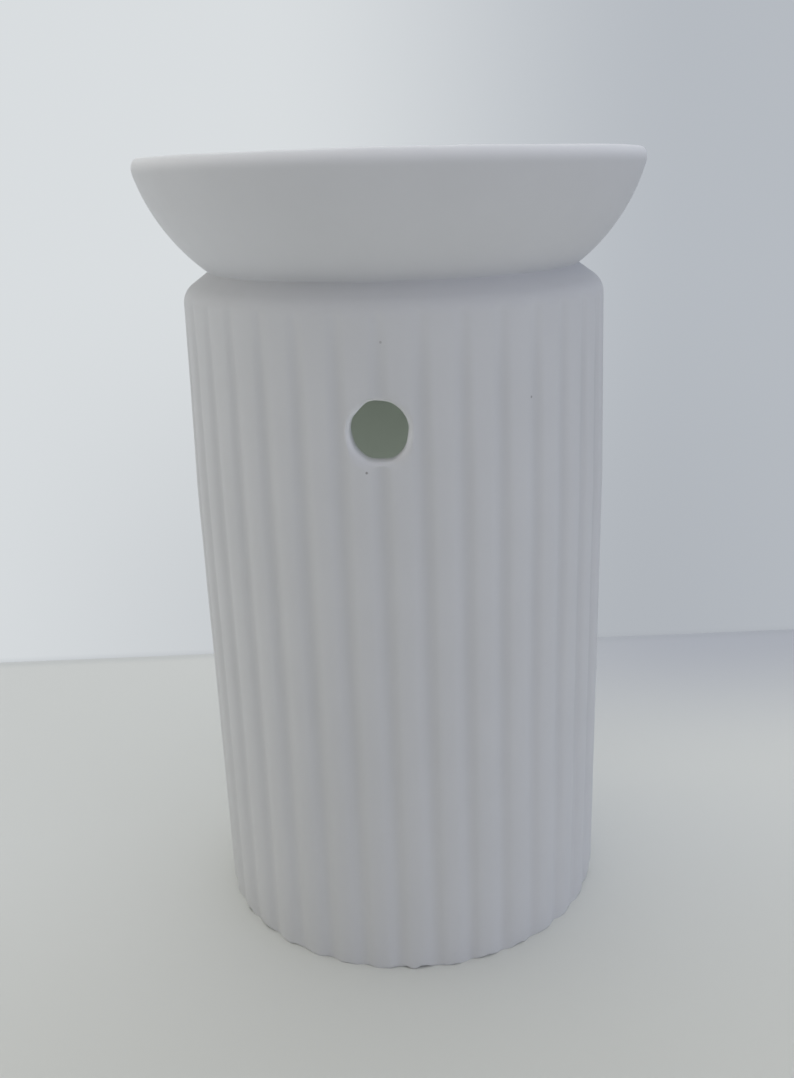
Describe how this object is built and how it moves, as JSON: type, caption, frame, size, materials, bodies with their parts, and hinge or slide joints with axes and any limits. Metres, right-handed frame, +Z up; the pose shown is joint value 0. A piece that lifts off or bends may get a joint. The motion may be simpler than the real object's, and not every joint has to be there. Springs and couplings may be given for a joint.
{
  "type": "wax melt warmer",
  "caption": "Tealight wax melt warmer: a ribbed ceramic cylinder with an air vent and a rear doorway, a flared lift-off dish on top and a tealight inside.",
  "frame": {"origin": "centre of the base, on the surface that the warmer stands on", "axes": "+Z up along the body's axis, -Y towards the vent in the front, +Y towards the doorway in the back"},
  "size_m": [0.0918, 0.0918, 0.1476],
  "materials": {
    "bisque_body": "matte unglazed white",
    "bisque_dish": "matte unglazed white",
    "cup_aluminium": "thin pressed sheet",
    "candle_wax": "white paraffin wax",
    "wick_cotton": "braided waxed cotton",
    "tab_steel": "tinned sheet"
  },
  "bodies": {
    "body": {"ribbed_body": "bisque_body"},
    "dish": {"melt_dish": "bisque_dish"},
    "tealight": {"tealight_cup": "cup_aluminium", "tealight_wax": "candle_wax", "tealight_wick": "wick_cotton", "wick_holder": "tab_steel"}
  },
  "joints": [
    {"name": "dish_lift", "type": "slide", "parent": "body", "child": "dish", "axis": [0, 0, 1], "range_m": [0, 0.06]},
    {"name": "tealight_slide", "type": "slide", "parent": "body", "child": "tealight", "axis": [0, 1, 0], "range_m": [0, 0.075]}
  ]
}
